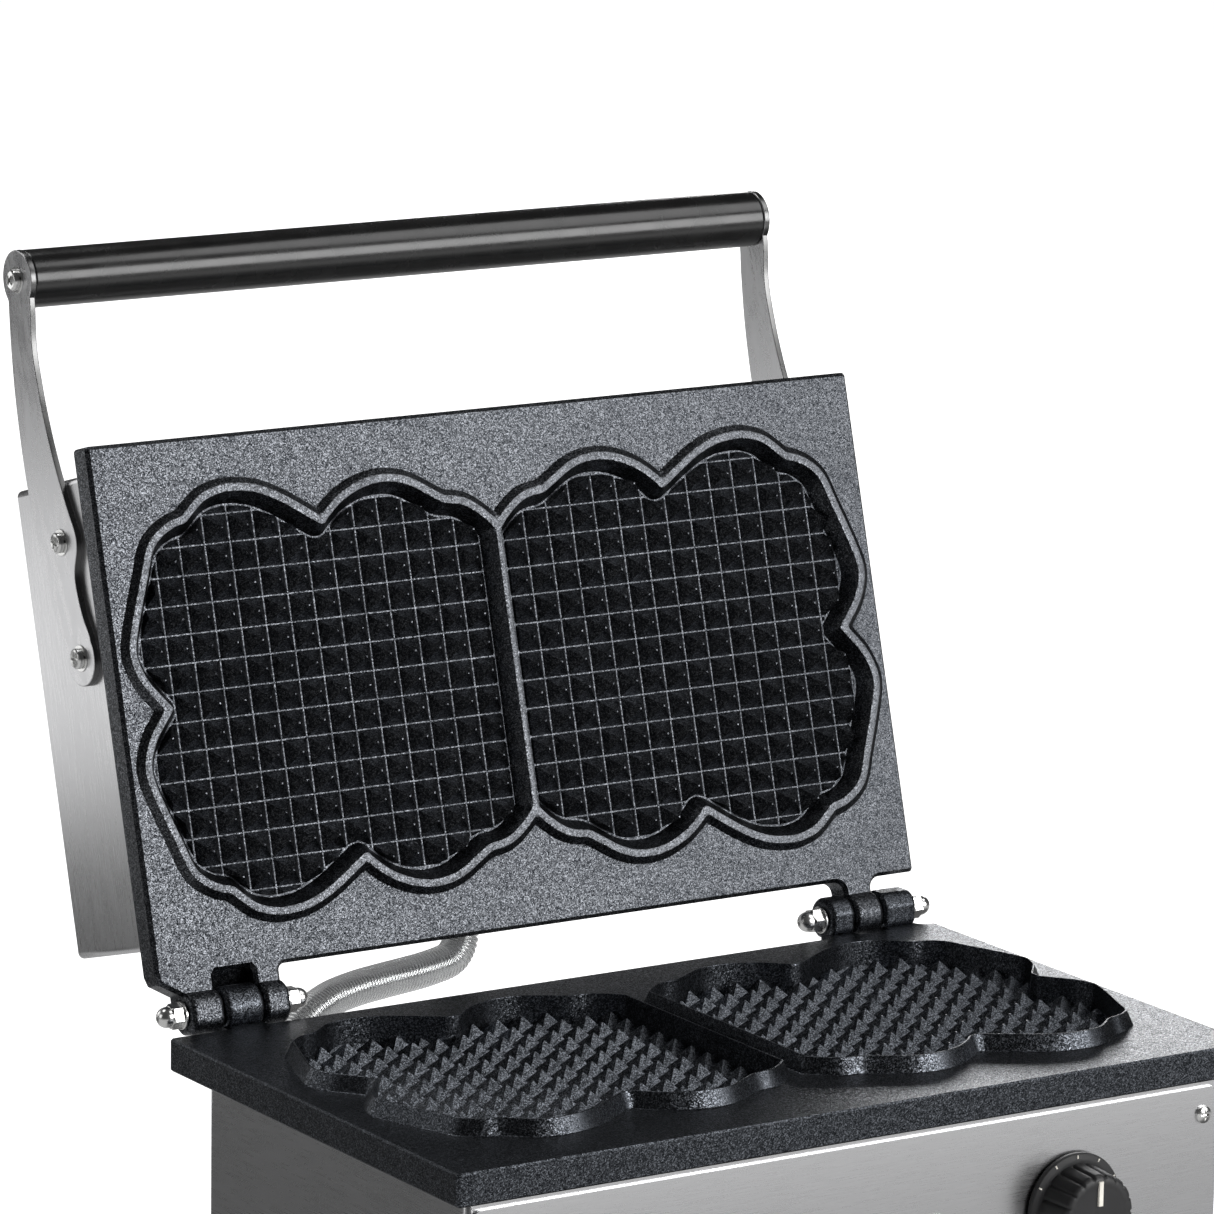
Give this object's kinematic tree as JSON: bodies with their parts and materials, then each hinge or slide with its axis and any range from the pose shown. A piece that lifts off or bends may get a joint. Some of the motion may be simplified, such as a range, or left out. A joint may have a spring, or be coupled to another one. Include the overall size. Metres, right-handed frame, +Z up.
{
  "type": "double waffle iron",
  "caption": "Countertop double waffle iron with a hinged upper plate, a round grip bar, a corrugated conduit and front controls.",
  "frame": {"origin": "centre of the open machine's outline, on the surface that its feet stand on", "axes": "+X to the right along the hinge, +Y to the back, +Z up"},
  "size_m": [0.4088, 0.414, 0.4475],
  "materials": {
    "lid_nonstick": "cast aluminium with a speckled, slightly metallic non-stick coating",
    "base_nonstick": "cast aluminium with a dark satin non-stick coating",
    "stainless": "brushed stainless sheet",
    "arm_steel": "satin stainless plate",
    "bright_steel": "polished fasteners",
    "plain_steel": "zinc-plated steel",
    "conduit_steel": "bright corrugated metal",
    "black_gloss": "glossy black",
    "black_matte": "matt black moulded plastic",
    "rubber": "black rubber",
    "heater_sheath": "oxidised heater sheath",
    "ceramic_wool": "white ceramic wool",
    "ceramic": "unglazed ceramic",
    "switch_red": "red translucent plastic",
    "amber_lens": "amber lamp lens",
    "green_lens": "green lamp lens"
  },
  "bodies": {
    "root": {"left_hinge_pin": "bright_steel", "right_hinge_pin": "bright_steel", "hinge_nuts": "bright_steel", "hinge_washers": "bright_steel", "base_plate": "base_nonstick", "base_plate_spacers": "plain_steel", "base_casing": "stainless", "front_panel": "stainless", "front_panel_screws": "bright_steel", "bottom_cover": "stainless", "bottom_cover_screws": "bright_steel", "rubber_feet": "rubber", "foot_screws": "plain_steel", "base_heating_element": "heater_sheath", "base_element_clamps": "plain_steel", "base_heat_shield": "plain_steel", "base_insulation": "ceramic_wool", "base_terminal_block": "ceramic", "base_conduit_fitting": "bright_steel", "cord_gland": "black_matte", "thermostat": "plain_steel", "timer": "ceramic", "power_switch_housing": "black_matte", "heating_lamp": "amber_lens", "power_lamp": "green_lens", "lid_conduit": "conduit_steel"},
    "lid": {"lid_plate": "lid_nonstick", "lid_cover": "stainless", "lid_cover_screws": "bright_steel", "lid_heating_element": "heater_sheath", "lid_element_clamps": "plain_steel", "lid_heat_shield": "plain_steel", "lid_insulation": "ceramic_wool", "lid_terminal_block": "ceramic", "lid_conduit_fitting": "bright_steel", "left_arm": "arm_steel", "right_arm": "arm_steel", "handle_grip": "black_gloss", "handle_core": "plain_steel", "handle_screws": "bright_steel", "arm_screws": "bright_steel", "arm_washers": "bright_steel", "arm_nuts": "plain_steel"},
    "thermostat_dial": {"thermostat_shaft": "plain_steel", "thermostat_knob": "black_matte"},
    "timer_dial": {"timer_shaft": "plain_steel", "timer_knob": "black_matte"},
    "power_rocker": {"power_switch_rocker": "switch_red"}
  },
  "joints": [
    {"name": "lid_hinge", "type": "hinge", "parent": "root", "child": "lid", "pos_m": [0, 0.05646, 0.132], "axis": [1, 0, 0], "range_deg": [0, 106], "deforming": ["lid_conduit"]},
    {"name": "thermostat_turn", "type": "hinge", "parent": "root", "child": "thermostat_dial", "pos_m": [-0.112, -0.18504, 0.0645], "axis": [0, 1, 0], "range_deg": [0, 300]},
    {"name": "timer_turn", "type": "hinge", "parent": "root", "child": "timer_dial", "pos_m": [0.112, -0.18504, 0.0645], "axis": [0, 1, 0], "range_deg": [0, 300]},
    {"name": "power_switch", "type": "hinge", "parent": "root", "child": "power_rocker", "pos_m": [0, -0.18504, 0.0645], "axis": [1, 0, 0], "range_deg": [0, 16]}
  ]
}
